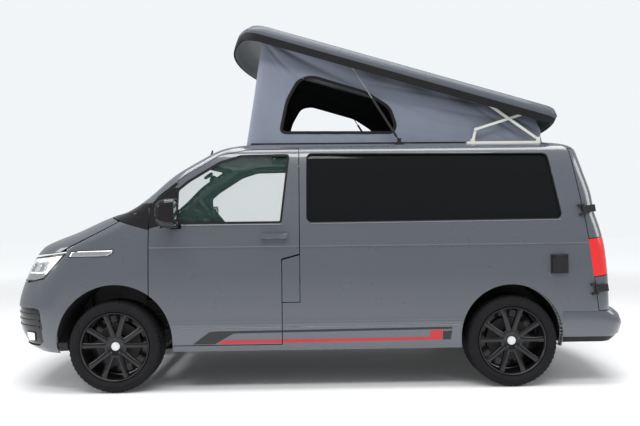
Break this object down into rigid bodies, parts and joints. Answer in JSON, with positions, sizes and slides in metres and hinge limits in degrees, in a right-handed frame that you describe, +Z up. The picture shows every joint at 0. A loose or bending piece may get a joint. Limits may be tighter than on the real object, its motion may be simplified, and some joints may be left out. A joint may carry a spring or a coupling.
{
  "type": "camper van",
  "caption": "Van-based camper with a lifting roof and fabric tent: hinged front doors, twin rear doors, bonnet, steered front wheels and a scissor linkage that folds the roof shut.",
  "frame": {"origin": "on the ground, half way along the length, on the centre line", "axes": "-X towards the nose, -Y towards the vehicle's left side, +Z up"},
  "size_m": [4.9036, 2.296, 2.8818],
  "materials": {
    "body_paint": "gloss cool grey paint",
    "roof_paint": "gloss cool grey paint",
    "clear_glass": "faintly green glass",
    "dark_glass": "privacy glass",
    "lamp": "clear lamp",
    "red_lamp": "red lens",
    "black_plastic": "grained black",
    "black_gloss": "gloss black",
    "steel": "bare steel",
    "chassis": "black chassis paint",
    "engine": "plain block",
    "tyre": "rubber",
    "rim": "gloss black",
    "alloy": "brushed",
    "canvas": "grey-blue canvas",
    "seat": "dark woven cloth",
    "furniture": "laminated board"
  },
  "bodies": {
    "body": {"roof_frame": "body_paint", "windscreen": "clear_glass", "body_side_left": "body_paint", "body_side_right": "body_paint", "side_glass": "dark_glass", "sliding_door": "body_paint", "front_wings": "body_paint", "corner_trims": "black_gloss", "headlamps": "lamp", "front_bumper": "body_paint", "grille": "black_gloss", "front_structure": "chassis", "tail_lamps": "red_lamp", "rear_hinge_pins": "black_plastic", "rear_bumper": "body_paint", "mains_inlet": "black_plastic", "front_subframe": "chassis", "rear_axle": "chassis", "wheel_housings": "black_plastic", "floor_pan": "chassis", "engine_block": "engine", "fuel_tank": "black_plastic", "exhaust": "steel", "dashboard": "black_plastic", "steering_wheel": "black_plastic", "seats": "seat", "side_unit": "furniture", "lift_rails": "alloy", "tent": "canvas"},
    "bonnet": {"bonnet": "body_paint"},
    "front_door_left": {"door_left": "body_paint", "door_glass_left": "clear_glass", "mirror_left": "black_plastic"},
    "front_door_right": {"door_right": "body_paint", "door_glass_right": "clear_glass", "mirror_right": "black_plastic"},
    "rear_door_left": {"rear_door_left": "body_paint", "rear_glass_left": "dark_glass", "rear_straps_left": "black_plastic"},
    "rear_door_right": {"rear_door_right": "body_paint", "rear_glass_right": "dark_glass", "rear_straps_right": "black_plastic"},
    "fuel_flap": {"fuel_flap": "body_paint"},
    "mains_lid": {"mains_lid": "black_plastic"},
    "knuckle_left": {"knuckle_left": "chassis"},
    "knuckle_right": {"knuckle_right": "chassis"},
    "lift_arm": {"scissor_arm": "alloy"},
    "lift_shell": {"roof_shell": "roof_paint"},
    "lift_stay": {"scissor_stay": "alloy"},
    "lift_link": {"scissor_link": "alloy"},
    "lift_barrels": {"strut_barrels": "black_gloss"},
    "lift_rods": {"strut_rods": "steel"},
    "wheel_front_left": {"tyre_front_left": "tyre", "rim_front_left": "rim"},
    "wheel_front_right": {"tyre_front_right": "tyre", "rim_front_right": "rim"},
    "wheel_rear_left": {"tyre_rear_left": "tyre", "rim_rear_left": "rim"},
    "wheel_rear_right": {"tyre_rear_right": "tyre", "rim_rear_right": "rim"}
  },
  "joints": [
    {"name": "steer_left", "type": "hinge", "parent": "body", "child": "knuckle_left", "pos_m": [-1.544, -0.73, 0.343], "axis": [0, 0, 1], "range_deg": [-35, 35]},
    {"name": "steer_right", "type": "hinge", "parent": "body", "child": "knuckle_right", "pos_m": [-1.544, 0.73, 0.343], "axis": [0, 0, 1], "range_deg": [-35, 35]},
    {"name": "spin_front_left", "type": "hinge", "parent": "knuckle_left", "child": "wheel_front_left", "pos_m": [-1.544, -0.814, 0.343], "axis": [0, -1, 0], "continuous": true},
    {"name": "spin_front_right", "type": "hinge", "parent": "knuckle_right", "child": "wheel_front_right", "pos_m": [-1.544, 0.814, 0.343], "axis": [0, -1, 0], "continuous": true},
    {"name": "spin_rear_left", "type": "hinge", "parent": "body", "child": "wheel_rear_left", "pos_m": [1.456, -0.814, 0.343], "axis": [0, -1, 0], "continuous": true},
    {"name": "spin_rear_right", "type": "hinge", "parent": "body", "child": "wheel_rear_right", "pos_m": [1.456, 0.814, 0.343], "axis": [0, -1, 0], "continuous": true},
    {"name": "open_bonnet", "type": "hinge", "parent": "body", "child": "bonnet", "pos_m": [-1.506, 0, 1.3], "axis": [0, 1, 0], "range_deg": [0, 60]},
    {"name": "open_door_left", "type": "hinge", "parent": "body", "child": "front_door_left", "pos_m": [-1.314, -0.916, 0.94], "axis": [0, 0, -1], "range_deg": [0, 65]},
    {"name": "open_door_right", "type": "hinge", "parent": "body", "child": "front_door_right", "pos_m": [-1.314, 0.916, 0.94], "axis": [0, 0, 1], "range_deg": [0, 65]},
    {"name": "open_rear_left", "type": "hinge", "parent": "body", "child": "rear_door_left", "pos_m": [2.08872, -0.968, 0.736], "axis": [0.1175, -0.0626, -0.9911], "range_deg": [0, 90]},
    {"name": "open_rear_right", "type": "hinge", "parent": "body", "child": "rear_door_right", "pos_m": [2.08872, 0.968, 0.736], "axis": [-0.1175, -0.0626, 0.9911], "range_deg": [0, 90]},
    {"name": "open_fuel_flap", "type": "hinge", "parent": "body", "child": "fuel_flap", "pos_m": [-0.13, -0.928, 0.82], "axis": [0, 0, 1], "range_deg": [0, 80]},
    {"name": "open_mains_lid", "type": "hinge", "parent": "body", "child": "mains_lid", "pos_m": [1.811, -0.971, 0.989], "axis": [-1, 0, 0], "range_deg": [0, 100]},
    {"name": "lift_roof", "type": "hinge", "parent": "body", "child": "lift_arm", "pos_m": [1.76, 0, 1.91], "axis": [0, 1, 0], "range_deg": [-34.48, 0], "deforming": ["tent"]},
    {"name": "level_roof", "type": "hinge", "parent": "lift_arm", "child": "lift_shell", "pos_m": [1.3041, 0, 2.23519], "axis": [0, 1, 0], "range_deg": [-0.05, 18.47]},
    {"name": "turn_stay", "type": "hinge", "parent": "lift_shell", "child": "lift_stay", "pos_m": [1.69041, 0, 2.12398], "axis": [0, 1, 0], "range_deg": [-0.05, 32.84]},
    {"name": "turn_link", "type": "hinge", "parent": "body", "child": "lift_link", "pos_m": [1.24703, 0, 1.908], "axis": [0, 1, 0], "range_deg": [-98.58, 0.05]},
    {"name": "swing_struts", "type": "hinge", "parent": "body", "child": "lift_barrels", "pos_m": [0.646, 0, 1.908], "axis": [0, 1, 0], "range_deg": [-53.18, 0.05]},
    {"name": "push_rods", "type": "slide", "parent": "lift_barrels", "child": "lift_rods", "axis": [-0.5295, 0, 0.8483], "range_m": [-0.2153, 0.0002]}
  ],
  "couplings": [
    {"joint": "steer_right", "follows": "steer_left", "ratio": 1},
    {"joint": "level_roof", "follows": "lift_roof", "ratio": -0.53418},
    {"joint": "turn_stay", "follows": "lift_roof", "ratio": -0.95102},
    {"joint": "turn_link", "follows": "lift_roof", "ratio": 2.8577},
    {"joint": "swing_struts", "follows": "lift_roof", "ratio": 1.5408},
    {"joint": "push_rods", "follows": "lift_roof", "m_per_rad": 0.35741}
  ]
}
